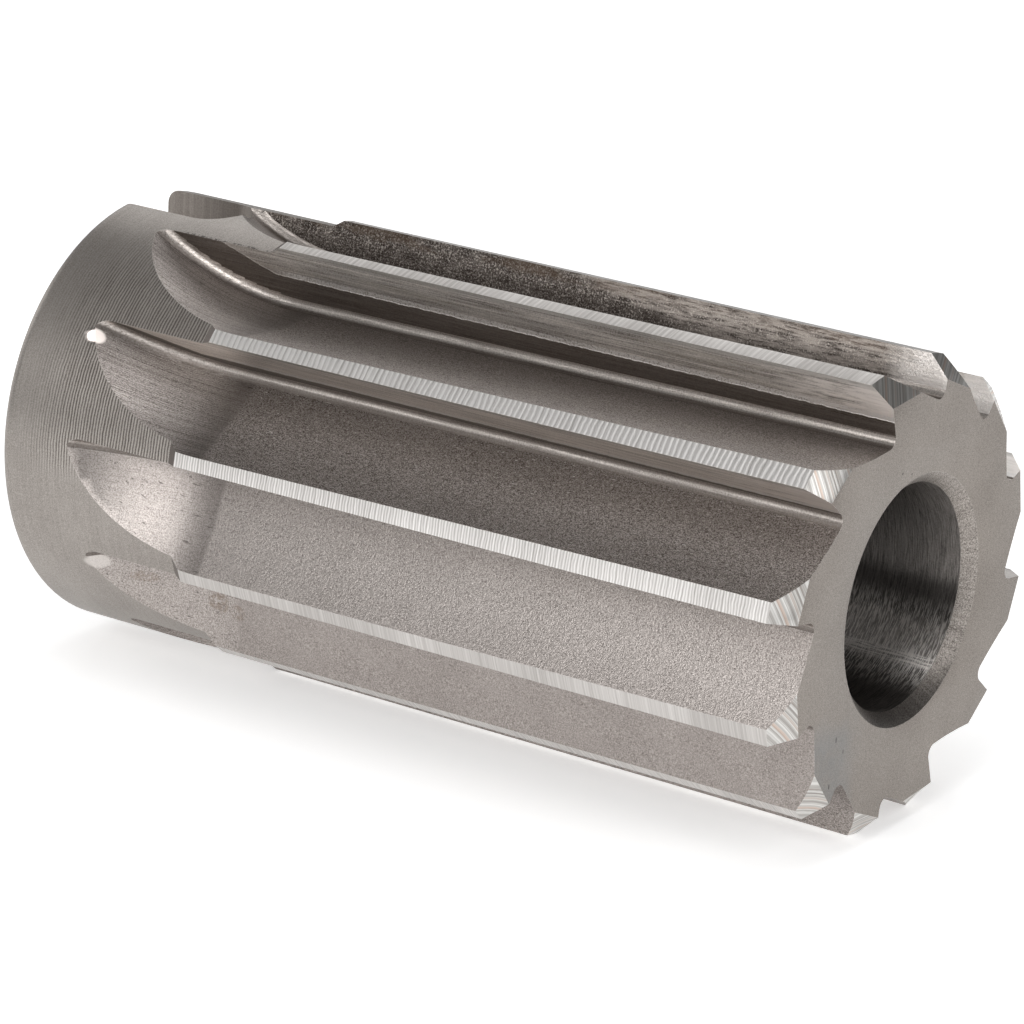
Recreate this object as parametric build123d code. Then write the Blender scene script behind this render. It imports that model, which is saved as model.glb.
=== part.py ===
from build123d import *
import math
import os

# Shell reamer: one piece of hardened steel that is pushed onto a taper arbor.
# +X runs along the bore, from the driving face at x = 0 to the cutting face.
# +Z is up: the reamer lies as on a bench, on the lands of the two lowest teeth.
# Sizes are in millimetres and degrees.

# Turned blank
DIAMETER = 38.1            # across opposite cutting edges
LENGTH = 76.2              # driving face to cutting face
COLLAR_DIAMETER = 36.8     # plain part behind the teeth
COLLAR_LENGTH = 17.6
SHOULDER_LENGTH = 1.05     # cone from the collar up to the teeth
RIM_ROUND = 1.2            # rounded outer corner of the driving face

# Taper bore, large end at the driving face
BORE_DIAMETER = 19.05
BORE_TAPER_RATIO = 1 / 96  # fall in diameter to length
BORE_CHAMFER = 1.0

# Driving slot across the driving face
SLOT_WIDTH = 6.35
SLOT_DEPTH = 10.6
SLOT_TURN = 88.0           # from +Y towards +Z

# Teeth and flutes; the pitches are unequal against chatter, and opposite teeth match
PITCHES = [33.0, 31.5, 31.0, 29.0, 28.5, 27.0]
LAND = 5.0                 # round land behind each edge at the cutting face, degrees
BACK_SLOPE = 10.3          # of the flute's back where it leaves the root
BACK_RADIUS = 39.0         # hollow of the flute's back
ROOT_ROUND = 0.8
FLUTE_FALL = 0.45          # the flute gets deeper towards the collar
RUNOUT_START = 20.4        # where the milling cutter stopped
CUTTER_RADIUS = 23.2       # of the cutter, which leaves the flute's curved end

# Cutting chamfer at the front of each tooth
CHAMFER_WIDTH = 1.7        # inwards and along the bore alike, at the cutting edge
RELIEF_REACH = 4.1         # behind the edge, where the next two are measured
RELIEF_DROP = 0.95
RELIEF_ANGLE = 60.0        # the facet is steeper at its heel

RADIUS = DIAMETER / 2
COLLAR_RADIUS = COLLAR_DIAMETER / 2
CLEAR = 2.0                # how far the cutting shapes reach outside the steel
FIRST_TOOTH = 270 + (PITCHES[-1] + LAND) / 2


def rounded(face, corner, radius):
    """A flat outline with one of its corners rounded."""
    nearest = face.vertices().sort_by_distance(corner)[0]
    return fillet(nearest, radius)


def turned_blank():
    """Collar, shoulder and tooth diameter with the taper bore, all turned about X."""
    rear_bore = BORE_DIAMETER / 2
    front_bore = rear_bore - LENGTH * BORE_TAPER_RATIO / 2
    teeth_start = COLLAR_LENGTH + SHOULDER_LENGTH
    half = make_face(Polyline(
        (BORE_CHAMFER, rear_bore - BORE_CHAMFER * BORE_TAPER_RATIO / 2),
        (0, rear_bore + BORE_CHAMFER),
        (0, COLLAR_RADIUS),
        (COLLAR_LENGTH, COLLAR_RADIUS),
        (teeth_start, RADIUS),
        (LENGTH, RADIUS),
        (LENGTH, front_bore + BORE_CHAMFER),
        (LENGTH - BORE_CHAMFER, front_bore + BORE_CHAMFER * BORE_TAPER_RATIO / 2),
        close=True))
    return revolve(rounded(half, (0, COLLAR_RADIUS), RIM_ROUND), Axis.X)


def back_height(ahead):
    """Rise of the flute's back over its root, at a distance ahead of the cutting face's plane."""
    slope = math.radians(BACK_SLOPE)
    lean = ahead / BACK_RADIUS + math.sin(slope)
    return BACK_RADIUS * (math.cos(slope) - math.sqrt(1 - lean ** 2))


def root_radius(pitch):
    """Depth of a flute at the cutting face: a wide pitch is cut deeper, so all lands are equal."""
    heel = math.radians(pitch - LAND)
    return RADIUS * math.cos(heel) - back_height(RADIUS * math.sin(heel))


def flute_cutter(pitch):
    """The metal milled out ahead of a tooth whose edge lies on +Y, up to the next tooth's land."""
    fall = math.radians(FLUTE_FALL)
    root = root_radius(pitch) - (LENGTH - RUNOUT_START) * math.tan(fall)
    top = RADIUS + CLEAR - root
    end = RADIUS * math.sin(math.radians(pitch - LAND)) + CLEAR
    section = make_face(
        Line((0, 0), (top, 0))
        + Line((top, 0), (top, end))
        + Line((top, end), (back_height(end), end))
        + ThreePointArc((back_height(end), end), (back_height(end / 2), end / 2), (0, 0)))
    plane = Plane((RUNOUT_START, root, 0), x_dir=(-math.sin(fall), math.cos(fall), 0),
                  z_dir=(math.cos(fall), math.sin(fall), 0))
    face = plane * rounded(section, (0, 0), ROOT_ROUND)
    straight = extrude(face, LENGTH - RUNOUT_START + CLEAR)
    spindle = Axis(plane.origin + plane.x_dir * CUTTER_RADIUS, (0, 0, -1))
    return straight + revolve(face, spindle, 80)


def chamfer_section(behind):
    """The metal ground off the front corner of a tooth, cut at a distance behind its edge."""
    share = behind / RELIEF_REACH
    tip = RADIUS - CHAMFER_WIDTH - RELIEF_DROP * share
    steepness = 1 + (math.tan(math.radians(RELIEF_ANGLE)) - 1) * share
    outside = RADIUS + 2 * CLEAR
    ahead = LENGTH + CLEAR
    back = LENGTH - 2 * CHAMFER_WIDTH
    profile = make_face(Polyline(
        (ahead, tip - steepness * CLEAR),
        (back, tip + steepness * 2 * CHAMFER_WIDTH),
        (back, outside),
        (ahead, outside),
        close=True))
    return Pos(0, 0, -behind) * profile


def chamfer_cutter():
    """Relieved chamfer of a tooth whose edge lies on +Y."""
    return loft([chamfer_section(-CLEAR), chamfer_section(1.2 * RELIEF_REACH)], ruled=True)


def driving_slot():
    """Slot for the arbor's driving lugs, with a full round bottom."""
    middle = SLOT_DEPTH - SLOT_WIDTH / 2
    profile = Pos(middle / 2 - CLEAR / 2, 0) * Rectangle(middle + CLEAR, SLOT_WIDTH)
    profile += Pos(middle, 0) * Circle(SLOT_WIDTH / 2)
    turn = math.radians(SLOT_TURN)
    across = Plane((0, 0, 0), x_dir=(1, 0, 0), z_dir=(0, math.cos(turn), math.sin(turn)))
    return extrude(across * profile, DIAMETER, both=True)


def shell_reamer():
    body = turned_blank()
    chamfer = chamfer_cutter()
    edge = FIRST_TOOTH
    for pitch in PITCHES:
        cutter = flute_cutter(pitch)
        for angle in (edge, edge + 180):
            body -= Rot(X=angle) * cutter
            body -= Rot(X=angle) * chamfer
        edge += pitch
    return body - driving_slot()


os.makedirs("parts", exist_ok=True)
export_step(shell_reamer(), "parts/shell_reamer.step")
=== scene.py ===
# %% [markdown]
# # A shell reamer on a white table
# A shell reamer is one piece of high speed steel that slides onto a taper arbor. The solid
# already has the true shape, so this lesson is about what the machines left on it: turned
# lines on the collar, a blasted grain in the flutes, and bright ground lands on the teeth.
# Everything is in metres, with +X along the bore and +Z up.

# %% Load the solid
import bpy
import math
from collections import namedtuple
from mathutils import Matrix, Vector


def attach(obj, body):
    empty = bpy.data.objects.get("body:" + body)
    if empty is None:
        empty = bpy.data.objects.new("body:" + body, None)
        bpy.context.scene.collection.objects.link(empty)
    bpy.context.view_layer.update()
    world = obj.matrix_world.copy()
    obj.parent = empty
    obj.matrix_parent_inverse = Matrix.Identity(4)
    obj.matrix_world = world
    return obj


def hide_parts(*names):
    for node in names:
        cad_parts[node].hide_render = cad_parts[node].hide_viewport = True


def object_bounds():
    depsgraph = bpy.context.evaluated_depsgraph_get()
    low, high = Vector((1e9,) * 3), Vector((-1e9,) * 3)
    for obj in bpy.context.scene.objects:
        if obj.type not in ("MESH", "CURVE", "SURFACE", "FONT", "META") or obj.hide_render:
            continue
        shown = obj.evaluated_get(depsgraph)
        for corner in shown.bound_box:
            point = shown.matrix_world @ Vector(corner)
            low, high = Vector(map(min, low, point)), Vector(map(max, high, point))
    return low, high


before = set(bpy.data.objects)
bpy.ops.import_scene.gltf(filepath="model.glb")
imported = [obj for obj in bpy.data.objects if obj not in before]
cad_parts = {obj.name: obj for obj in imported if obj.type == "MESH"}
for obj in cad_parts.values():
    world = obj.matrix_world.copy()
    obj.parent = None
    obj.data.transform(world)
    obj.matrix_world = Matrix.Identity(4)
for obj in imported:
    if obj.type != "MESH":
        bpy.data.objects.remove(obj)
cad_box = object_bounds()
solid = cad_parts["shell_reamer"]
print("solid:", len(solid.data.polygons), "triangles")

# %% [markdown]
# ## Sizes that the marks follow
# The marks follow the machining, so a few sizes of the solid are needed again. The teeth are
# spaced unevenly, which keeps a reamer from chattering, and the second half repeats the first.
# Tooth 0 is one of the two that the reamer lies on, and the numbers go on in the sense that
# the reamer turns.

# %% Sizes in millimetres, angles in degrees
LENGTH = 76.2
RADIUS = 19.05
COLLAR_RADIUS = 18.4
COLLAR_END = 17.6
TEETH_START = 18.65
RIM_ROUND = 1.2
BORE_RADIUS = 9.0           # a little less than its small end
MOUTH_RADIUS = 10.55
SLOT_TURN = 88.0            # the way the slot runs across, from +Y towards +Z
SLOT_DEPTH = 10.6
SLOT_WIDTH = 6.35
FACET_LENGTH = 2.2          # how far back the ground facets at the front reach
ROOT_REACH = 0.85           # how far ahead of a tooth's plane its round root reaches
PITCHES = [33.0, 31.5, 31.0, 29.0, 28.5, 27.0]
LAND = 5.0
STRAIGHT_DOWN = 270
PER_METRE = 1000.0          # millimetres in a metre
edges = [STRAIGHT_DOWN + (PITCHES[-1] + LAND) / 2]
for pitch in PITCHES + PITCHES[:-1]:
    edges.append(edges[-1] + pitch)
edges = [angle % 360 for angle in edges]
print("cutting edges at", [round(angle, 1) for angle in edges])


def millimetres(value):
    return value / PER_METRE


def outwards(angle):
    """Direction from the bore's axis towards an angle around it."""
    return Vector((0, math.cos(math.radians(angle)), math.sin(math.radians(angle))))


# %% [markdown]
# ## The piece that shows
# A real edge is never a perfect corner: the grinding wheel leaves a thin line that catches the
# light. The imported mesh is loose triangles, so a copy is merged, its flat parts are dissolved,
# and every sharp edge gets a bevel a twentieth of a millimetre wide. The edges could be picked
# and beveled by hand, but there are hundreds, and a modifier finds them all by their angle.

# %% Copy and merge
SAME_POINT = 1e-6
SAME_PLANE = math.radians(0.1)
bpy.ops.object.select_all(action="DESELECT")
reamer = bpy.data.objects.new("reamer", solid.data.copy())
bpy.context.scene.collection.objects.link(reamer)
bpy.context.view_layer.objects.active = reamer
reamer.select_set(True)
bpy.ops.mesh.customdata_custom_splitnormals_clear()
bpy.ops.object.mode_set(mode="EDIT")
bpy.ops.mesh.select_all(action="SELECT")
bpy.ops.mesh.remove_doubles(threshold=SAME_POINT)
bpy.ops.mesh.dissolve_limited(angle_limit=SAME_PLANE)
bpy.ops.object.mode_set(mode="OBJECT")
print("merged:", len(reamer.data.vertices), "points", len(reamer.data.polygons), "faces")

# %% Thin bright edges
SHARP = math.radians(24)
EDGE_WIDTH = 0.05
EDGE_SLOT = 1
bevel = reamer.modifiers.new("edge", "BEVEL")
bevel.width = millimetres(EDGE_WIDTH)
bevel.segments = 1
bevel.limit_method = "ANGLE"
bevel.angle_limit = SHARP
bevel.material = EDGE_SLOT
while len(reamer.data.materials) <= EDGE_SLOT:
    reamer.data.materials.append(None)
bpy.ops.object.modifier_apply(modifier="edge")
bpy.ops.object.shade_smooth_by_angle(angle=SHARP)
edge_faces = {face.index for face in reamer.data.polygons if face.material_index == EDGE_SLOT}
print("beveled:", len(reamer.data.polygons), "faces, of which on edges", len(edge_faces))

# %% [markdown]
# ## Which surface is which
# Each surface was made by another tool, so each face is sorted by where it lies and which way
# it points: along the bore, outwards from it, or ahead in the sense that the reamer turns.
# The faces could be picked one by one, but a rule treats all twelve teeth alike.

# %% Which tooth a face belongs to
BEHIND_EDGE = 0.4           # degrees that still count as ahead of an edge


def angle_of(place):
    """Degrees around the bore at which a place lies, from +Y towards +Z."""
    return math.degrees(math.atan2(place.z, place.y)) % 360


def tooth_behind(angle):
    """Number of the tooth whose flute holds this angle, and how far ahead of its edge it lies."""
    gaps = [(angle - edge + BEHIND_EDGE) % 360 - BEHIND_EDGE for edge in edges]
    nearest = min(range(len(edges)), key=lambda number: gaps[number])
    return nearest, gaps[nearest]


print("straight up lies ahead of tooth", tooth_behind(90)[0])

# %% [markdown]
# A face's direction has three parts of up to 1. A part near 1 means that the face is square to
# that way, and a part near 0 that it lies along it. The round surfaces are narrow flats in the
# mesh, so their middles lie a little inside the true radius.

# %% Rules for sorting
FINISHES = ["turned", "edge", "shoulder", "land", "facet", "rake", "scaled_rake", "root", "flute",
            "front", "bore", "mouth", "slot", "driving_face"]
SCALED_TEETH = (4, 5, 11)
SQUARE, NEARLY, HALF, TILTED = 0.99, 0.9, 0.5, 0.3
RAKE_SQUARE = 0.995         # closer, because the root turns away from the rake slowly
MARGIN = 0.05
FLATS = 0.03
print("finishes to tell apart:", len(FINISHES))


def turned_or_ground(place, normal, radius, outward):
    """The finish of a face on the collar, the shoulder, a land or a facet, or else None."""
    if outward > NEARLY and abs(radius - RADIUS) < FLATS:
        return "land"
    on_rim = place.x < RIM_ROUND + 2 * MARGIN and radius > COLLAR_RADIUS - RIM_ROUND - MARGIN
    on_collar = place.x < COLLAR_END and radius > COLLAR_RADIUS - FLATS
    if on_rim and outward > MARGIN or on_collar and outward > NEARLY:
        return "turned"
    on_shoulder = COLLAR_END - FLATS < place.x < TEETH_START + FLATS
    if on_shoulder and normal.x < -TILTED and outward > HALF:
        return "shoulder"
    if place.x > LENGTH - FACET_LENGTH and normal.x > TILTED and outward > TILTED:
        return "facet"
    return None


def in_slot(place, normal, radius):
    """Whether a face is a wall or the bottom of the driving slot."""
    beside = abs(place.dot(outwards(SLOT_TURN - 90)))
    along = abs(normal.dot(outwards(SLOT_TURN)))
    return (place.x < SLOT_DEPTH + MARGIN and beside < SLOT_WIDTH / 2 + MARGIN
            and radius > BORE_RADIUS and along < FLATS)


def milled(place, normal, radius):
    """The finish of a face in a flute: the ground side of the tooth, the root or the back."""
    tooth, gap = tooth_behind(angle_of(place))
    if radius * math.sin(math.radians(gap)) > ROOT_REACH:
        return "flute"
    if normal.dot(outwards(edges[tooth] + 90)) < RAKE_SQUARE:
        return "root"
    return "scaled_rake" if tooth in SCALED_TEETH else "rake"


def finish_of(place, normal):
    """The finish of a face from its middle, in millimetres, and its outward direction."""
    radius = math.hypot(place.y, place.z)
    outward = (normal.y * place.y + normal.z * place.z) / radius
    if normal.x > SQUARE and place.x > LENGTH - MARGIN:
        return "front"
    if normal.x < -SQUARE and place.x < MARGIN:
        return "driving_face"
    if outward < -HALF and radius < MOUTH_RADIUS + MARGIN:
        return "bore" if abs(normal.x) < TILTED else "mouth"
    if in_slot(place, normal, radius):
        return "slot"
    return turned_or_ground(place, normal, radius, outward) or milled(place, normal, radius)


# %% Sort the faces
middles = [face.center * PER_METRE for face in reamer.data.polygons]
face_finishes = ["edge" if face.index in edge_faces else finish_of(place, face.normal)
                 for face, place in zip(reamer.data.polygons, middles)]
print({name: face_finishes.count(name) for name in FINISHES})

# %% [markdown]
# ### Truly round collar and lands
# The mesh has narrow flats in place of a cylinder, and beside a run-out their corners lean a
# little, which shows as pale bands. Here each corner on the collar and the lands is told to
# face straight outwards, and a zero leaves the others as they are.

# %% Round the shading
facing = [(0.0, 0.0, 0.0)] * len(reamer.data.loops)
for face, finish in zip(reamer.data.polygons, face_finishes):
    past_rim = face.center.x > millimetres(RIM_ROUND)
    if finish == "land" or finish == "turned" and past_rim:
        for corner, number in zip(face.loop_indices, face.vertices):
            point = reamer.data.vertices[number].co
            facing[corner] = Vector((0, point.y, point.z)).normalized()
reamer.data.normals_split_custom_set(facing)
print("corners that face straight outwards:", sum(any(way) for way in facing))

# %% [markdown]
# ## Marks in the cutter's own directions
# Milling and grinding marks run along and across each tooth. An attribute therefore holds, for
# each corner of each face, the distance along the bore, the distance ahead of the tooth's plane
# and the height along the tooth, all in millimetres, so that the patterns can follow the cut.
# The object's own coordinates can't do that, because they don't turn with the teeth.
# On a facet the first number is leaned by a slant, since each facet was ground by itself.

# %% Write the directions of the cut
SLANTS = {6: 0.58, 7: 0.62, 8: 0.41, 9: 0.35}
USUAL_SLANT = 0.45
HALF_PITCH = 15


def tooth_of(face, finish):
    """A face's tooth. A land or facet lies behind its own edge, far ahead of the one before."""
    tooth, gap = tooth_behind(angle_of(face.center))
    if finish in ("land", "facet") and gap > HALF_PITCH:
        tooth = (tooth + 1) % len(edges)
    return tooth


cut = reamer.data.attributes.new("cut", "FLOAT_VECTOR", "CORNER")
for face, finish in zip(reamer.data.polygons, face_finishes):
    tooth = tooth_of(face, finish)
    slant = SLANTS.get(tooth, USUAL_SLANT) if finish == "facet" else 0.0
    up, forward = outwards(edges[tooth]), outwards(edges[tooth] + 90)
    for corner, number in zip(face.loop_indices, face.vertices):
        point = reamer.data.vertices[number].co * PER_METRE
        ahead = point.dot(forward)
        cut.data[corner].vector = (point.x - slant * ahead, ahead, point.dot(up))
print("corners with the directions of the cut:", len(cut.data))

# %% [markdown]
# A second attribute tells the teeth apart, because no two were ground or blasted quite alike.
# The tables hold the teeth that differ, and all the others get the usual numbers. A material
# for each tooth would do as well, but then every change would have to be made twelve times.

# %% Write each tooth's own numbers
COARSE, FINE = 0, 1                     # how strongly the wheel chattered
STARTS, REACHES_DOWN, GRAIN = 0, 1, 1   # where along the bore, down to where, how strong
BRIGHTNESS = 2
# coarse chatter, fine chatter, brightness
LANDS = {6: (0.15, 0.0, 0.40), 7: (1.0, 0.0, 1.0), 8: (0.2, 0.9, 0.66), 9: (0.0, 0.1, 0.42),
         1: (0.8, 0.0, 0.7), 2: (0.0, 0.6, 0.55)}
# where along the bore the grinding starts, down to which height it goes, brightness
RAKES = {6: (16.3, 16.42, 0.41), 7: (13.0, 15.85, 0.88), 0: (15.0, 16.2, 0.55),
         2: (17.0, 15.9, 0.45)}
# where the blasted part starts, how strong its grain is, brightness
FLUTES = {6: (21.6, 1.0, 0.49), 7: (21.2, 1.2, 0.48), 8: (20.6, 0.9, 0.82), 9: (21.0, 0.5, 0.51)}
NUMBERS = {"land": (LANDS, (0.1, 0.4, 0.5)), "rake": (RAKES, (17.5, 16.6, 0.5)),
           "flute": (FLUTES, (21.3, 1.0, 0.5))}
own = reamer.data.attributes.new("own", "FLOAT_VECTOR", "FACE")
for face, finish in zip(reamer.data.polygons, face_finishes):
    if finish in NUMBERS:
        known, usual = NUMBERS[finish]
        own.data[face.index].vector = known.get(tooth_of(face, finish), usual)
print("teeth with numbers of their own:",
      {finish: len(known) for finish, (known, usual) in NUMBERS.items()})

# %% [markdown]
# ## How a finish is built
# High speed steel is a metal, so it has no colour of its own in the shade: what the eye sees is
# the room, blurred by the roughness. Each finish mixes a light and a dark steel by a tone, and
# every mark of a tool moves that tone a little and has a depth. Marks are in millimetres.
# A picture of steel could be wrapped round the piece, but it would stretch and repeat, while
# patterns of nodes stay sharp from near and have the size of the real marks.

# %% Colours and nodes


def linear(code):
    """A hex colour as written on a screen, turned to the linear values that light adds up in."""
    parts = [int(code[i:i + 2], 16) / 255 for i in (1, 3, 5)]
    return [p / 12.92 if p <= 0.04045 else ((p + 0.055) / 1.055) ** 2.4 for p in parts] + [1.0]


def add(tree, kind, inputs=(), output=0, **settings):
    """Adds a node, sets or links its inputs, and gives one of its outputs.

    The inputs are a list of the first ones, or a dict from names or numbers to values.
    """
    node = tree.nodes.new("ShaderNode" + kind)
    for name, value in settings.items():
        setattr(node, name, value)
    for name, value in inputs.items() if isinstance(inputs, dict) else enumerate(inputs):
        if isinstance(value, bpy.types.NodeSocket):
            tree.links.new(value, node.inputs[name])
        else:
            node.inputs[name].default_value = value
    return node.outputs[output] if node.outputs else None


print("a middle grey in linear light:", [round(part, 3) for part in linear("#808080")])

# %% [markdown]
# ### Patterns
# A pattern is a value from 0 to 1 over the surface. Noise stretched by other lengths along the
# three directions gives grain, scratches or grinding lines, and a wave gives regular feed marks.
# The space says which directions: "place" is the object's own, and "cut" is the attribute's.

# %% Grain, lines and feed marks
X, Y, Z = 0, 1, 2                       # the axes of "place"
ALONG_BORE, AHEAD, HEIGHT = 0, 1, 2     # the axes of "cut"
LONG = 40.0                             # the length of a line that doesn't end on its face
WAVE_RADIANS = 20                       # that Blender's wave runs through in one unit


def strokes(space, sizes, detail=2.0, roughness=0.5, shift=(0, 0, 0)):
    """Noise with its own length in each direction: equal ones give grain, a long one lines."""
    def pattern(tree, spaces):
        moved = add(tree, "VectorMath", [spaces[space], shift], operation="ADD")
        scaled = add(tree, "VectorMath", [moved, sizes], operation="DIVIDE")
        return add(tree, "TexNoise", {"Vector": scaled, "Scale": 1.0, "Detail": detail,
                                      "Roughness": roughness}, "Fac")
    return pattern


def grain(size, detail=3.0, roughness=0.65):
    return strokes("place", (size, size, size), detail, roughness)


def feed_marks(space, pitch, wander, direction="X"):
    """Regular marks along one direction, one for each turn or step of the tool."""
    def pattern(tree, spaces):
        return add(tree, "TexWave", {"Vector": spaces[space], "Distortion": wander, "Detail": 2.0,
                                     "Scale": math.tau / WAVE_RADIANS / pitch, "Detail Scale": 0.6},
                   "Fac", wave_type="BANDS", bands_direction=direction, wave_profile="SIN")
    return pattern


print("a mark every millimetre takes a wave scale of", round(math.tau / WAVE_RADIANS, 4))

# %% [markdown]
# ### Masks
# A mask is a pattern too, and says where another one shows. It rises from 0 to 1 between two
# levels of any value: of noise, of a distance, or of how far a point lies past a leaning line.

# %% Masks by level and by place
SPOT_RIM = (1.2, 0.8)       # a spot fades from outside to inside its radius


def sharpen(pattern, low, high):
    """Rises from 0 to 1 between two levels, so noise becomes specks, pits or single scratches."""
    def sharpened(tree, spaces):
        return add(tree, "MapRange", {"Value": pattern(tree, spaces), "From Min": low,
                                      "From Max": high}, interpolation_type="SMOOTHSTEP")
    return sharpened


def from_to(space, axis, start, end, ragged=0.0, size=1.0):
    """A mask that rises along an axis, with an uneven front when it is ragged."""
    def distance(tree, spaces):
        value = add(tree, "SeparateXYZ", [spaces[space]], axis)
        if ragged:
            noise = grain(size)(tree, spaces)
            value = add(tree, "Math", [noise, 2 * ragged, value], operation="MULTIPLY_ADD")
            value = add(tree, "Math", [value, ragged], operation="SUBTRACT")
        return value
    return sharpen(distance, start, end)


def towards(angle, start, end):
    """A mask that rises along the direction of an angle around the bore."""
    def reach(tree, spaces):
        return add(tree, "VectorMath", [spaces["place"], outwards(angle)], "Value",
                   operation="DOT_PRODUCT")
    return sharpen(reach, start, end)


def spots(*places):
    """A mask of single spots, each with its middle and its radii in millimetres."""
    def mask(tree, spaces):
        total = None
        for middle, radii in places:
            def distance(tree, spaces):
                offset = add(tree, "VectorMath", [spaces["place"], middle], operation="SUBTRACT")
                offset = add(tree, "VectorMath", [offset, radii], operation="DIVIDE")
                return add(tree, "VectorMath", [offset], "Value", operation="LENGTH")
            spot = sharpen(distance, *SPOT_RIM)(tree, spaces)
            total = spot if total is None else add(tree, "Math", [total, spot], operation="MAXIMUM")
        return total
    return mask


print("a spot fades away between", SPOT_RIM[1], "and", SPOT_RIM[0], "of its radius")

# %% Masks together and masks that follow each tooth
UNEVEN = (0.8, 0.8, 0.8)    # size of the steps in a ragged line


def both(*patterns):
    """Where all the patterns are at once."""
    def product(tree, spaces):
        total = patterns[0](tree, spaces)
        for pattern in patterns[1:]:
            total = add(tree, "Math", [total, pattern(tree, spaces)], operation="MULTIPLY")
        return total
    return product


def outside(mask):
    """Where a mask is not."""
    def inverse(tree, spaces):
        return add(tree, "Math", [1.0, mask(tree, spaces)], operation="SUBTRACT")
    return inverse


def within(pattern, mask):
    """A pattern that fades to its middle level outside a mask."""
    def faded(tree, spaces):
        level = add(tree, "Math", [pattern(tree, spaces), 0.5], operation="SUBTRACT")
        return add(tree, "Math", [level, mask(tree, spaces), 0.5], operation="MULTIPLY_ADD")
    return faded


def own_number(axis, more=0.0):
    """One of the numbers that tell the teeth apart, with something added."""
    def value(tree, spaces):
        numbers = add(tree, "Attribute", output="Vector", attribute_name="own")
        number = add(tree, "SeparateXYZ", [numbers], axis)
        return add(tree, "Math", [number, more], operation="ADD") if more else number
    return value


def past_line(axis, lean_axis, limit, lean, soft, ragged):
    """A mask past a line: where the value on an axis is over a limit plus a lean times another."""
    def past(tree, spaces):
        value, other = (add(tree, "SeparateXYZ", [spaces["cut"]], n) for n in (axis, lean_axis))
        start = limit(tree, spaces) if callable(limit) else limit
        value = add(tree, "Math", [value, start], operation="SUBTRACT")
        leaned = add(tree, "Math", [other, lean], operation="MULTIPLY")
        value = add(tree, "Math", [value, leaned], operation="SUBTRACT")
        noise = strokes("cut", UNEVEN, 4.0, 0.7)(tree, spaces)
        uneven = add(tree, "Math", [noise, 0.5], operation="SUBTRACT")
        return add(tree, "Math", [uneven, ragged, value], operation="MULTIPLY_ADD")
    return sharpen(past, -soft, soft)


print("the steps of a ragged line are", UNEVEN[0], "mm long")

# %% [markdown]
# ### One builder for all the finishes
# The marks add up to a tone and a height. Stains are laid over them, each a mask with its own
# colour and its own roughness. The tone also moves the roughness, since bright marks are smooth.
# Lines too fine to draw still spread the light across themselves: that is the lay, with how
# strong it is and whether its lines run round the bore or along it. A spot of painted highlight
# has lost its marks: its height is a plain slope from its middle.

# %% The builder
Mark = namedtuple("Mark", "pattern tone depth", defaults=(0.0,))
Stain = namedtuple("Stain", "mask colour strength roughness")
Lay = namedtuple("Lay", "strength turn")
HighlightSlope = namedtuple("HighlightSlope", "mask middle slope")
ROUND, ALONG = 0.25, 0.0
SMOOTHER = 0.12             # how much smoother the brightest marks are than the darkest
# a Mix node's inputs: its share, the two numbers that it can mix, and the two colours
SHARE, NUMBER, NUMBER_OVER, COLOUR, COLOUR_OVER = 0, 2, 3, 6, 7
MIXED_COLOUR = 2            # its output for colours


def marked(tree, spaces, marks):
    """The tone and the height, in millimetres, that all the marks add up to."""
    tone, height = 0.5, 0.0
    for mark in marks:
        level = add(tree, "Math", [mark.pattern(tree, spaces), 0.5], operation="SUBTRACT")
        tone = add(tree, "Math", [level, mark.tone, tone], operation="MULTIPLY_ADD")
        height = add(tree, "Math", [level, mark.depth, height], operation="MULTIPLY_ADD")
    return add(tree, "Math", [tone, 0.0], operation="ADD", use_clamp=True), height


def steel(name, dark, light, roughness, marks, stains=(), lay=None, highlight_slope=None):
    """Bare steel between a dark and a light colour, with its marks and stains."""
    material = bpy.data.materials.new(name)
    material.use_nodes = True
    tree = material.node_tree
    tree.nodes.clear()
    objects = add(tree, "TexCoord", output="Object")
    place = add(tree, "VectorMath", {0: objects, "Scale": PER_METRE}, operation="SCALE")
    spaces = {"place": place, "cut": add(tree, "Attribute", output="Vector", attribute_name="cut")}
    tone, height = marked(tree, spaces, marks)
    colour = add(tree, "Mix", {SHARE: tone, COLOUR: linear(dark), COLOUR_OVER: linear(light)},
                 MIXED_COLOUR, data_type="RGBA")
    rough = add(tree, "Math", [tone, -SMOOTHER, roughness + SMOOTHER / 2], operation="MULTIPLY_ADD")
    for stain in stains:
        share = add(tree, "Math", [stain.mask(tree, spaces), stain.strength], operation="MULTIPLY")
        tint = linear(stain.colour)
        colour = add(tree, "Mix", {SHARE: share, COLOUR: colour, COLOUR_OVER: tint},
                     MIXED_COLOUR, data_type="RGBA")
        rough = add(tree, "Mix", {SHARE: share, NUMBER: rough, NUMBER_OVER: stain.roughness},
                    data_type="FLOAT")
    if highlight_slope:
        offset = add(tree, "VectorMath", [place, highlight_slope.middle], operation="SUBTRACT")
        flat = add(tree, "VectorMath", [offset, highlight_slope.slope], "Value", operation="DOT_PRODUCT")
        share = highlight_slope.mask(tree, spaces)
        height = add(tree, "Mix", {SHARE: share, NUMBER: height, NUMBER_OVER: flat},
                     data_type="FLOAT")
    relief = add(tree, "Bump", {"Height": height, "Strength": 1.0, "Distance": millimetres(1)})
    surface = {"Base Color": colour, "Metallic": 1.0, "Roughness": rough, "Normal": relief}
    if lay:
        surface["Tangent"] = add(tree, "Tangent", direction_type="RADIAL", axis="X")
        surface["Anisotropic"] = lay.strength
        surface["Anisotropic Rotation"] = lay.turn
    add(tree, "OutputMaterial", {"Surface": add(tree, "BsdfPrincipled", surface)})
    print(name, "has", len(tree.nodes), "nodes")
    return material


print("between its darkest and brightest marks the roughness moves by", SMOOTHER)
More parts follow.
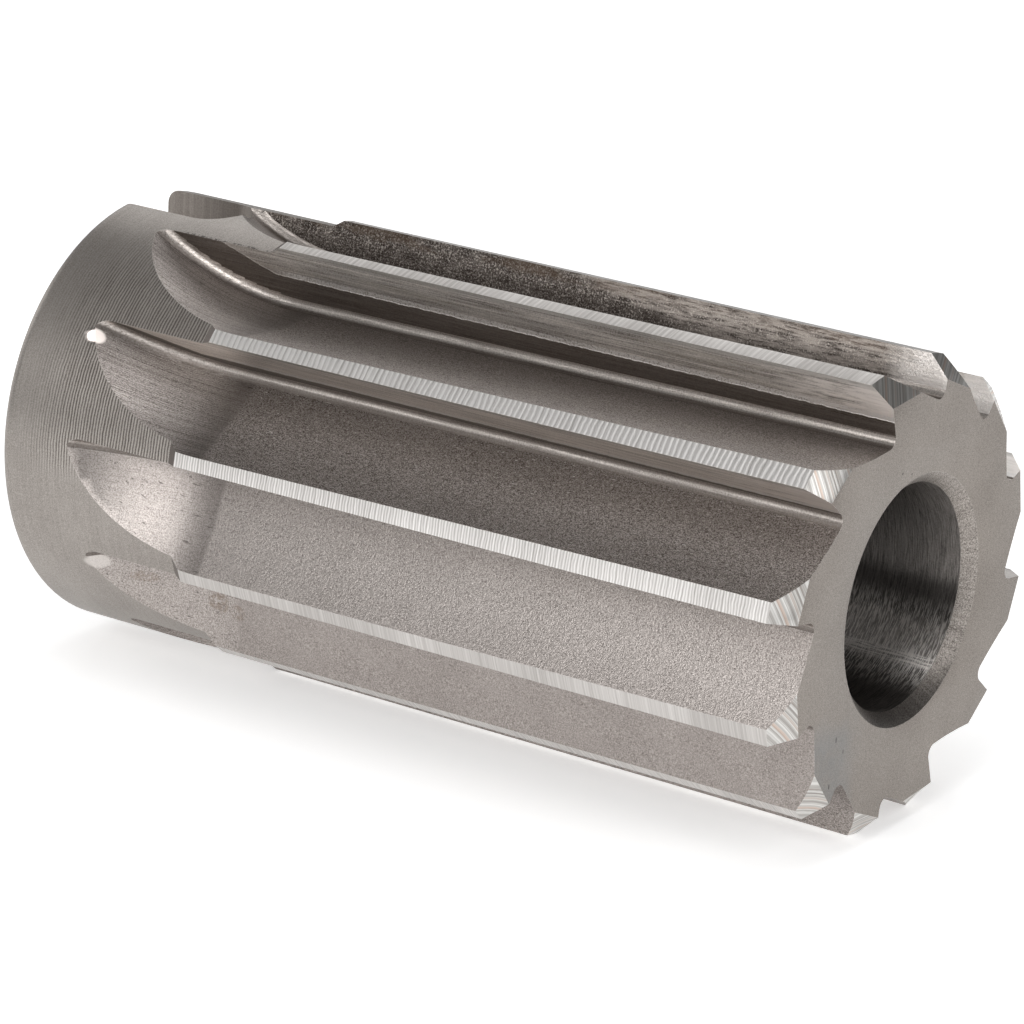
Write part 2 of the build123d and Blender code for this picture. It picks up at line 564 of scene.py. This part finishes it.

# %% [markdown]
# ## The finishes
# The collar was turned with a feed of 0.3 mm a turn, and then only lightly polished, so the eye
# sees fine rings on an even, warm grey. They show most above the collar's middle and away from
# its rim. The milling cutter left a ragged burr beside one run-out. The tip of the next one has a
# painted highlight, a pale spot with its height sloped, and a spot lower down has another.

# %% What happened to the collar
# The two pale spots are painted highlights on the tips of two run-outs
TIP_HIGHLIGHT_COLOUR, LOW_HIGHLIGHT_COLOUR, BURR = "#E2D8D2", "#DAD4CF", "#3F3935"
TIP_HIGHLIGHT_MIDDLE = (7.3, -14.75, 10.8)
tip_highlight_spot = spots((TIP_HIGHLIGHT_MIDDLE, (1.0, 0.62, 0.62)))
low_highlight_spot = spots(((9.0, -16.3, -7.9), (1.55, 0.62, 0.62)))
painted_tip_highlight = Stain(tip_highlight_spot, TIP_HIGHLIGHT_COLOUR, strength=0.9, roughness=0.33)
burr = both(sharpen(strokes("place", (0.22, 0.6, 0.6), detail=2.0, roughness=0.6), 0.48, 0.54),
            from_to("place", X, 8.0, 9.5), towards(edges[6] + 90, -0.3, -0.1),
            from_to("place", Z, 16.5, 17.2))
rings = both(from_to("place", Z, -1.5, 2.0, ragged=1.2, size=4.0),
             from_to("place", Z, 18.0, 14.0, ragged=1.0, size=3.0),
             from_to("place", X, 1.0, 8.0, ragged=0.5, size=3.0))
# where the middle of the painted highlight on the tip lies
print("the knocked tip lies", TIP_HIGHLIGHT_MIDDLE[0], "mm from the driving face")

# %% Turned collar
FEED = 0.29
uneven_rings = strokes("place", (0.2, 3.0, 3.0), detail=3.0, roughness=0.7, shift=(2, 0, 0))
finishes = {}
finishes["turned"] = steel(
    "turned_steel", "#615A55", "#BCB6B0", 0.46,
    [Mark(within(feed_marks("place", FEED, 2.6), rings), tone=0.85, depth=0.008),
     Mark(within(uneven_rings, rings), tone=0.9, depth=0.004),
     # where the rings show the collar is a little darker: partly unpolished steel, partly painted
     # shade
     Mark(rings, tone=-0.08),
     Mark(strokes("place", (0.16, 5.0, 5.0), detail=3.0, roughness=0.7), tone=0.3, depth=0.003),
     Mark(grain(0.10), tone=1.2, depth=0.006),
     Mark(grain(7.0), tone=0.3)],
    [Stain(burr, BURR, strength=0.8, roughness=0.6), painted_tip_highlight,
     Stain(low_highlight_spot, LOW_HIGHLIGHT_COLOUR, strength=0.6, roughness=0.36)],
    Lay(0.4, ROUND), HighlightSlope(tip_highlight_spot, TIP_HIGHLIGHT_MIDDLE, slope=(-0.21, 0.07, 0.165)))

# %% [markdown]
# A bevel is a worn corner: smoother and paler than the faces beside it, so it draws a thin
# bright line. The shoulder is a short turned cone, duller and darker than the collar.

# %% Worn corners and shoulder
finishes["edge"] = steel(
    "burnished_edge", "#C4BDB6", "#F4F0EB", 0.3, [Mark(grain(0.1), tone=0.6)])
finishes["shoulder"] = steel(
    "turned_shoulder", "#534D48", "#857D78", 0.5, [Mark(grain(0.1), tone=0.8)])

# %% [markdown]
# The lands are ground round with the reamer turning, so their lines run across. Where the
# wheel chattered, the lines are a regular ladder, strong on one tooth and weak on the next.
# The facets in front were ground one by one, and their lines lean. The finest lines of a wheel
# are a few hundredths of a millimetre apart, too fine to show here, so they are drawn coarser.
# The heat of grinding has left a few lines of a facet straw-coloured.

# %% Ground lands
WHEEL_LINES = 0.13
COARSE_CHATTER, FINE_CHATTER = 0.50, 0.27
ladder = feed_marks("cut", COARSE_CHATTER, 3.6)
rungs = strokes("cut", (0.2, LONG, LONG), detail=3.0, roughness=0.7, shift=(5, 0, 0))
wheel_lines = strokes("cut", (WHEEL_LINES, LONG, LONG), detail=3.0, roughness=0.7)
finishes["land"] = steel(
    "ground_land", "#7C7671", "#FFFCF9", 0.44,
    [Mark(within(ladder, own_number(COARSE)), tone=0.75, depth=0.018),
     Mark(within(rungs, own_number(COARSE)), tone=1.4, depth=0.006),
     Mark(within(feed_marks("cut", FINE_CHATTER, 3.4), own_number(FINE)), tone=0.45, depth=0.008),
     Mark(wheel_lines, tone=0.65, depth=0.006),
     Mark(strokes("cut", (5.0, LONG, LONG)), tone=0.3),
     Mark(own_number(BRIGHTNESS), tone=1.0)],
    lay=Lay(0.35, ROUND))

# %% Ground facets
straw = sharpen(strokes("cut", (0.16, LONG, LONG), shift=(9, 0, 0)), 0.55, 0.63)
finishes["facet"] = steel(
    "ground_facet", "#7B746E", "#EDECE9", 0.32,
    [Mark(wheel_lines, tone=2.2, depth=0.018),
     Mark(strokes("cut", (0.6, LONG, LONG), detail=1.0), tone=0.5)],
    [Stain(straw, "#BC957A", strength=0.45, roughness=0.4)],
    Lay(0.7, ROUND))

# %% [markdown]
# The rake face is ground only on its upper part, from where the wheel enters, so it is streaked
# along the tooth and has a ragged lip above the step, pale steel with a painted highlight along
# the step. Below the step it keeps the darker skin of the furnace. Towards the front it gets
# brighter, up to a bare tip.

# %% Where the wheel went on a rake face
STEP_FALL = -0.005          # the step falls slowly along the bore
STEP_START = 19.0           # its height is given here
WHEEL_LEAN = -2.6           # the round wheel reaches further back near the cutting edge
MIDDLE_HEIGHT = 17.0
LIP = 0.45


def over_step(above):
    """The ground part of a rake face, from a height above the step that the wheel left."""
    limit = own_number(REACHES_DOWN, above - STEP_FALL * STEP_START)
    return past_line(HEIGHT, ALONG_BORE, limit, lean=STEP_FALL, soft=0.07, ragged=0.35)


wheel_enters = own_number(STARTS, -WHEEL_LEAN * MIDDLE_HEIGHT)
ground = both(over_step(0.0),
              past_line(ALONG_BORE, HEIGHT, wheel_enters, lean=WHEEL_LEAN, soft=0.2, ragged=1.0))
# a ragged band above the step: pale specks of steel with a painted highlight along the step
lip_and_highlight = both(over_step(0.0), outside(over_step(LIP)), sharpen(grain(0.15, detail=4.0), 0.38, 0.50),
           from_to("cut", ALONG_BORE, 17.0, 20.0))
flame = both(from_to("cut", ALONG_BORE, 62.0, 73.0, ragged=2.0, size=2.0),
             sharpen(strokes("cut", (3.0, 0.6, 0.24), detail=3.0, roughness=0.6), 0.38, 0.58),
             ground)
tip = both(from_to("cut", ALONG_BORE, 72.2, 74.2, ragged=1.0, size=0.8), ground)
# a grey strip just under the cutting edge is painted shade from the land's edge
painted_shade_under_edge = from_to("cut", HEIGHT, 18.5, 18.9, ragged=0.1, size=0.6)
print("towards the front the step falls by", round(STEP_FALL * (STEP_START - LENGTH), 2), "mm")

# %% Ground rake faces
BARE_STEEL, SKIN, SKIN_LIGHT = "#FFF9F4", "#50463F", "#7E746D"
olive = sharpen(strokes("cut", (15.0, 0.5, 0.35), shift=(8, 0, 5)), 0.50, 0.66)
not_ground = outside(ground)
skin_streaks = both(
    not_ground,
    sharpen(strokes("cut", (0.5, 0.5, 0.12), detail=3.0, roughness=0.7), 0.5, 0.62))
finishes["rake"] = steel(
    "ground_rake", "#58514C", "#F5EEE7", 0.40,
    [Mark(strokes("cut", (7.0, 0.5, 0.10), detail=3.0, roughness=0.7), tone=1.5, depth=0.010),
     Mark(strokes("cut", (12.0, 0.5, 0.30), detail=3.0, roughness=0.6, shift=(4, 0, 2)), tone=0.8),
     Mark(grain(0.12), tone=0.9, depth=0.008),
     Mark(ground, tone=0.0, depth=-0.03),
     Mark(own_number(BRIGHTNESS), tone=0.9)],
    [Stain(olive, "#9A937F", strength=0.2, roughness=0.42),
     Stain(not_ground, SKIN, strength=0.80, roughness=0.5),
     Stain(skin_streaks, SKIN_LIGHT, strength=0.5, roughness=0.45),
     Stain(flame, BARE_STEEL, strength=0.8, roughness=0.34),
     Stain(tip, BARE_STEEL, strength=0.75, roughness=0.34),
     Stain(painted_shade_under_edge, "#A19F9B", strength=0.5, roughness=0.4),
     Stain(lip_and_highlight, "#ECE9E6", strength=0.8, roughness=0.4)])

# %% [markdown]
# A few of the teeth were not ground there at all. They keep the scale of the furnace: dark and
# speckled with pale flecks, brown near the edge, and rubbed bare in patches towards the front.

# %% Scaled rake faces
SCALE = "#3A332F"
BARE_FROM, BARE_LEAN, BARE_HEIGHT = 46.0, -5.0, 18.0
flecks = sharpen(grain(0.15, detail=2.0, roughness=0.6), 0.52, 0.64)
brown = both(sharpen(strokes("place", (6.0, 1.5, 1.5), detail=3.0), 0.40, 0.60),
             from_to("cut", HEIGHT, 17.9, 18.5, ragged=0.6))
bare_start = BARE_FROM - BARE_LEAN * BARE_HEIGHT
bare = both(past_line(ALONG_BORE, HEIGHT, bare_start, lean=BARE_LEAN, soft=3.0, ragged=8.0),
            sharpen(strokes("cut", (2.5, 0.4, 0.25), detail=4.0, roughness=0.7), 0.36, 0.60))
low_part = from_to("cut", HEIGHT, 17.9, 17.0, ragged=0.5)
scaled_tip = from_to("cut", ALONG_BORE, 70.0, 74.0, ragged=2.0, size=1.5)
finishes["scaled_rake"] = steel(
    "scaled_rake", SCALE, "#C9C0B8", 0.5,
    [Mark(flecks, tone=0.7, depth=0.02),
     Mark(grain(0.14, detail=3.0, roughness=0.7), tone=1.3, depth=0.02),
     Mark(grain(1.6), tone=0.5),
     Mark(strokes("cut", (3.0, 0.3, 0.12)), tone=0.5, depth=0.005)],
    [Stain(brown, "#6F5E50", strength=0.5, roughness=0.55),
     Stain(bare, "#DDD3CA", strength=0.62, roughness=0.45),
     Stain(low_part, SCALE, strength=0.40, roughness=0.5),
     Stain(scaled_tip, BARE_STEEL, strength=0.7, roughness=0.38)])

# %% [markdown]
# The flute was milled, which leaves fine arcs where the cutter ran out, and was then blasted
# along its straight part with grit that leaves dents of a tenth of a millimetre. One material
# holds both, and one fades into the other with a band of painted shade between them, where the
# surface starts to curve. Beside the root of a flute with a strong grain lies a strip of painted
# shade. Pits, a rust spot, scuffs and nicks are where the real tool has them.

# %% Where the flute is milled and where it is blasted
SHADE_BAND = 2.4
blasted = past_line(ALONG_BORE, AHEAD, own_number(STARTS), lean=0.0, soft=0.25, ragged=0.8)
not_blasted = outside(blasted)
gritty = both(blasted, own_number(GRAIN))
lined = both(not_blasted, sharpen(own_number(GRAIN), 0.85, 1.0))
# a strip beside the root is painted shade, on flutes with a strong grain
painted_shade_by_root = both(from_to("cut", AHEAD, 5.6, 1.5), sharpen(own_number(GRAIN), 0.8, 1.0))
darkest = both(blasted, sharpen(own_number(GRAIN), 1.05, 1.15))
# the band before the blasted part is painted shade, where the surface starts to curve
shade_band_starts = own_number(STARTS, -SHADE_BAND)
painted_shade_band = both(not_blasted,
            past_line(ALONG_BORE, AHEAD, shade_band_starts, lean=0.0, soft=1.8, ragged=0.3),
            sharpen(own_number(GRAIN), 0.4, 1.3))
print("the dark band begins", SHADE_BAND, "mm before the blasted part")

# %% What happened to the flutes
PITS = (((15.8, -15.6, -1.0), (0.08, 0.2, 0.2)), ((16.4, -15.4, -0.8), (0.07, 0.2, 0.24)),
        ((18.05, -14.1, 6.7), (0.1, 0.1, 0.1)), ((11.1, -16.9, -0.7), (0.16, 0.16, 0.08)),
        ((44.8, -13.2, 7.3), (0.12, 0.12, 0.12)))
RUST = (((19.0, -13.1, -10.0), (1.0, 1.0, 1.0)), ((20.9, -13.0, -10.5), (0.7, 0.7, 0.7)),
        ((12.6, -14.6, -8.9), (1.8, 0.6, 0.5)))
pits = spots(*PITS)
rust = both(spots(*RUST), sharpen(grain(0.3, detail=4.0), 0.42, 0.6))
nicks = both(sharpen(strokes("cut", (0.5, 0.09, 0.5), detail=1.0), 0.70, 0.76), darkest)
scratches = strokes("place", (1.3, 0.12, 0.3), roughness=0.6, shift=(3, 7, 1))
scuffs = both(not_blasted, sharpen(scratches, 0.63, 0.71))
print("the flutes have", len(PITS), "pits and", len(RUST), "spots of rust")

# %% Flutes
GRIT = 0.10
finishes["flute"] = steel(
    "milled_and_blasted_flute", "#574F4A", "#D0C8C3", 0.46,
    [Mark(within(grain(GRIT, detail=2.0, roughness=0.6), gritty), tone=2.3, depth=0.016),
     Mark(within(grain(0.24, detail=2.0), gritty), tone=0.7, depth=0.024),
     Mark(within(feed_marks("cut", 0.17, 9.0, "Y"), lined), tone=0.22, depth=0.004),
     Mark(within(strokes("cut", (LONG, 0.14, LONG), roughness=0.6), lined), tone=1.1, depth=0.007),
     Mark(within(grain(0.11), not_blasted), tone=1.9, depth=0.012),
     Mark(own_number(BRIGHTNESS), tone=0.45),
     Mark(within(own_number(BRIGHTNESS), blasted), tone=0.45),
     Mark(not_blasted, tone=0.10),
     Mark(grain(5.0), tone=0.2)],
    [Stain(painted_shade_by_root, "#4A423D", strength=0.45, roughness=0.45),
     Stain(painted_shade_band, "#4A433F", strength=0.52, roughness=0.42),
     Stain(darkest, "#3F3834", strength=0.18, roughness=0.46),
     Stain(nicks, "#EFEAE5", strength=0.5, roughness=0.35),
     Stain(scuffs, "#3A3430", strength=0.55, roughness=0.5),
     Stain(rust, "#7D6C5C", strength=0.5, roughness=0.55),
     Stain(pits, "#2B2725", strength=0.85, roughness=0.6),
     # the painted highlights on the run-outs' tips reach onto the flute
     painted_tip_highlight, Stain(low_highlight_spot, LOW_HIGHLIGHT_COLOUR, strength=0.6, roughness=0.36)],
    Lay(0.4, ALONG), HighlightSlope(tip_highlight_spot, TIP_HIGHLIGHT_MIDDLE, slope=(0, 0, 0)))

# %% [markdown]
# The corner of the cutter leaves a smoother round root with lines along it, so it mirrors the
# light as one long bright line, with painted shade where it turns up into the tooth.

# %% Roots
# painted shade where the root turns up
painted_shade_in_root = from_to("cut", AHEAD, 0.3, 0.55)
finishes["root"] = steel(
    "milled_root", "#5A524D", "#E0D8D1", 0.34,
    [Mark(strokes("cut", (6.0, 0.12, 0.12), detail=3.0), tone=1.0, depth=0.01),
     Mark(grain(0.13), tone=1.1, depth=0.012)],
    # painted shade where the root turns up, and the painted highlight on a run-out's tip
    [Stain(painted_shade_in_root, "#4E4641", strength=0.7, roughness=0.45), painted_tip_highlight],
    highlight_slope=HighlightSlope(tip_highlight_spot, TIP_HIGHLIGHT_MIDDLE, slope=(0, 0, 0)))

# %% [markdown]
# The front was faced and lightly blasted: an even satin with faint clouds, a bluish patch and a
# few pits.

# %% Front
FACE_PITS = (((LENGTH, -10.5, -8.3), (0.3, 0.07, 0.26)), ((LENGTH, -9.35, -9.6), (0.3, 0.05, 0.2)),
             ((LENGTH, -2.7, 11.0), (0.3, 0.08, 0.10)), ((LENGTH, -1.3, 10.6), (0.3, 0.08, 0.08)),
             ((LENGTH, -11.2, -11.9), (0.3, 0.07, 0.22)))
face_pits = spots(*FACE_PITS)
bluish = both(from_to("place", Y, -6.5, -9.5, ragged=2.5, size=3.0),
              from_to("place", Z, -6.0, -8.5, ragged=2.0, size=3.0), grain(1.5))
finishes["front"] = steel(
    "faced_and_blasted_front", "#69625C", "#A7A099", 0.42,
    [Mark(grain(GRIT), tone=1.9, depth=0.009),
     Mark(grain(0.30, detail=2.0), tone=0.5, depth=0.02),
     Mark(grain(7.0), tone=0.4)],
    [Stain(bluish, "#7A7F82", strength=0.7, roughness=0.42),
     Stain(face_pits, "#3A3634", strength=0.8, roughness=0.6)])

# %% [markdown]
# The bore is rough ground, so its lines run round it and the light breaks into streaks. Its
# lower wall is bright on one side, with a fine line along it, partly rubbed steel and partly
# painted highlight. Two strips of painted shade cross the wall, and it is darker at its bottom.

# %% Bore
DARK_WALL = "#1E1C1B"
RUBBED_AND_HIGHLIT_SIDE = 313             # degrees round the bore, from +Y towards +Z
# bright dashes on one side of the lower wall: partly rubbed steel, partly painted highlight
rubbed_and_highlit_dashes = both(towards(RUBBED_AND_HIGHLIT_SIDE, 7.9, 8.9),
                 sharpen(strokes("place", (0.09, 0.9, 0.9), detail=3.0, roughness=0.6), 0.46, 0.58))
# a fine bright line along the lower wall: partly rubbed steel, partly painted highlight
rubbed_and_highlit_line = both(from_to("place", Z, -7.7, -7.4), from_to("place", Z, -6.8, -7.0),
                sharpen(strokes("place", (2.0, 0.2, 0.10), detail=2.0), 0.42, 0.54))
# two dark strips across the wall are painted shade
painted_shade_strips = both(from_to("place", Z, -5.2, -4.0, ragged=0.4),
              from_to("place", Z, -0.8, -2.2, ragged=0.4))
darker_bottom = from_to("place", Z, -7.5, -7.9)
finishes["bore"] = steel(
    "rough_ground_bore", "#3E3A38", "#B3ADA8", 0.45,
    [Mark(strokes("place", (0.07, 1.6, 1.6), detail=3.0, roughness=0.7), tone=2.2, depth=0.02),
     Mark(grain(0.15), tone=0.6, depth=0.01)],
    [Stain(painted_shade_strips, DARK_WALL, strength=0.6, roughness=0.45),
     Stain(darker_bottom, DARK_WALL, strength=0.5, roughness=0.45),
     Stain(rubbed_and_highlit_dashes, "#F0EBE6", strength=0.75, roughness=0.35),
     Stain(rubbed_and_highlit_line, "#F7F2ED", strength=0.7, roughness=0.35)],
    Lay(0.85, ROUND))

# %% [markdown]
# The mouth is a plain grainy cone, with faint marks straight across it, and is darker at its
# lowest part.

# %% Mouth of the bore
CONE_RADIUS = 10.0


def across_cone(size, detail):
    """Noise that depends only on the angle around the bore, so its marks run like spokes."""
    def pattern(tree, spaces):
        spoke = add(tree, "VectorMath", [spaces["place"], (0, 1, 1)], operation="MULTIPLY")
        spoke = add(tree, "VectorMath", [spoke], operation="NORMALIZE")
        spoke = add(tree, "VectorMath", {0: spoke, "Scale": CONE_RADIUS}, operation="SCALE")
        return strokes("round", (size, size, size), detail)(tree, {"round": spoke})
    return pattern


lowest = from_to("place", Z, -6.5, -9.5, ragged=0.6, size=0.6)
finishes["mouth"] = steel(
    "countersunk_mouth", "#554E4A", "#C0B9B2", 0.45,
    [Mark(grain(0.11), tone=2.2, depth=0.03), Mark(across_cone(0.3, 2.0), tone=0.6, depth=0.02)],
    [Stain(lowest, "#2A2624", strength=0.6, roughness=0.45)])

# %% [markdown]
# The slot was milled across, so its walls have lines that stand along its depth. The back was
# only faced, and is the plainest surface: a pale, even satin.

# %% Driving slot and back
finishes["slot"] = steel(
    "milled_slot", "#615A54", "#9F9892", 0.45,
    [Mark(grain(0.14), tone=0.9, depth=0.01),
     Mark(strokes("place", (0.2, LONG, LONG)), tone=0.5, depth=0.005)])
finishes["driving_face"] = steel(
    "faced_back", "#7A736D", "#A9A29B", 0.42,
    [Mark(grain(0.14), tone=0.5, depth=0.004), Mark(grain(5.0), tone=0.4)])

# %% Give each face its finish
reamer.data.materials.clear()
for name in FINISHES:
    reamer.data.materials.append(finishes[name])
for face, name in zip(reamer.data.polygons, face_finishes):
    face.material_index = FINISHES.index(name)
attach(reamer, "root")
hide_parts("shell_reamer")
print("materials:", [material.name for material in reamer.data.materials])

# %% [markdown]
# ## Floor, light and camera
# The picture is a studio shot on white. The floor is a sheet of white paper that glows for the
# camera and in reflections, and still takes the reamer's shadow.

# %% Floor
FLOOR_SIZE = 6
FLOOR_GLOW = 0.47
FLOOR_GAP = millimetres(0.02)
FLOOR_MIDDLE = 0.04
CLOUDS_ACROSS = 900         # the paper is faintly uneven every 7 mm
bpy.ops.object.select_all(action="DESELECT")
top = cad_box[0][2] - FLOOR_GAP
bpy.ops.mesh.primitive_plane_add(size=FLOOR_SIZE, location=(FLOOR_MIDDLE, 0, top))
floor = bpy.context.object
floor.name = "floor"
paper = bpy.data.materials.new("white_paper")
paper.use_nodes = True
tree = paper.node_tree
tree.nodes.clear()
clouds = add(tree, "TexNoise", {"Scale": CLOUDS_ACROSS, "Detail": 2.0}, "Fac")
relief = add(tree, "Bump", {"Height": clouds, "Strength": 0.1, "Distance": millimetres(0.1)})
sheet = add(tree, "BsdfPrincipled", {"Base Color": linear("#FBFBFB"), "Roughness": 0.9,
                                     "Normal": relief})
rays = add(tree, "LightPath").node
seen = rays.outputs["Is Camera Ray"]
for name in ("Is Glossy Ray", "Is Transmission Ray"):
    seen = add(tree, "Math", [seen, rays.outputs[name]], operation="MAXIMUM")
strength = add(tree, "Math", [seen, FLOOR_GLOW], operation="MULTIPLY")
glow = add(tree, "Emission", {"Color": (1, 1, 1, 1), "Strength": strength})
add(tree, "OutputMaterial", {"Surface": add(tree, "AddShader", [sheet, glow])})
floor.data.materials.append(paper)
print("floor at", round(floor.location.z, 5), "m")

# %% [markdown]
# Bare metal shows its surroundings, so the lamps are what gives each face its brightness. Nine
# soft boxes of the same size stand a metre off all round, the strongest in front and a little
# to the left, and a weak even light fills the room. A lamp's number is how bright its own
# surface is.

# %% Light
LAMP_DISTANCE = 1.0
LAMP_SIZE = 0.5
ROOM_LIGHT = 0.18
MIDDLE = Vector((millimetres(LENGTH / 2), 0, 0))
LAMPS = {"front": ((-0.15, -0.87, 0.47), 3.5), "low_front": ((0.0, -0.97, 0.2), 1.0),
         "above_front": ((0.0, -0.45, 0.87), 1.0), "above": ((0.1, -0.05, 1.0), 2.2),
         "right": ((0.78, -0.1, 0.58), 2.3), "low_right": ((0.95, -0.2, 0.22), 1.1),
         "behind": ((-0.1, 0.7, 0.7), 1.25), "behind_left": ((-0.6, 0.6, 0.5), 1.5),
         "far_left": ((-0.95, 0.0, 0.27), 1.6)}


def soft_box(name, way, radiance):
    """A square lamp that stands in a direction from the reamer and faces it."""
    lamp = bpy.data.lights.new(name, "AREA")
    lamp.shape = "SQUARE"
    lamp.size = LAMP_SIZE
    lamp.energy = radiance * math.pi * LAMP_SIZE * LAMP_SIZE
    holder = bpy.data.objects.new(name, lamp)
    bpy.context.scene.collection.objects.link(holder)
    holder.location = MIDDLE + way * LAMP_DISTANCE
    holder.rotation_euler = way.to_track_quat("Z", "Y").to_euler()


for name, (way, radiance) in LAMPS.items():
    soft_box(name, Vector(way).normalized(), radiance)
world = bpy.data.worlds.new("room")
world.use_nodes = True
background = world.node_tree.nodes["Background"]
background.inputs["Color"].default_value = (1, 1, 1, 1)
background.inputs["Strength"].default_value = ROOM_LIGHT
bpy.context.scene.world = world
print("lamps:", len(LAMPS))

# %% [markdown]
# The camera was fitted to the photograph: a long lens, 0.4 m off, that looks down on the front
# of the reamer from the right.

# %% Camera
FOCAL_LENGTH, FILM_WIDTH = 169.569, 36
CAMERA_PLACE = (0.2459, -0.30535, 0.12823)
CAMERA_TURN = (70.6522, -1.772, 34.7759)
lens = bpy.data.cameras.new("camera")
lens.lens = FOCAL_LENGTH
lens.sensor_width = FILM_WIDTH
camera = bpy.data.objects.new("camera", lens)
bpy.context.scene.collection.objects.link(camera)
camera.location = CAMERA_PLACE
camera.rotation_euler = [math.radians(angle) for angle in CAMERA_TURN]
bpy.context.scene.camera = camera
bpy.context.scene.view_settings.view_transform = "Standard"
print("camera is", round((camera.location - MIDDLE).length, 3), "m from the reamer's middle")
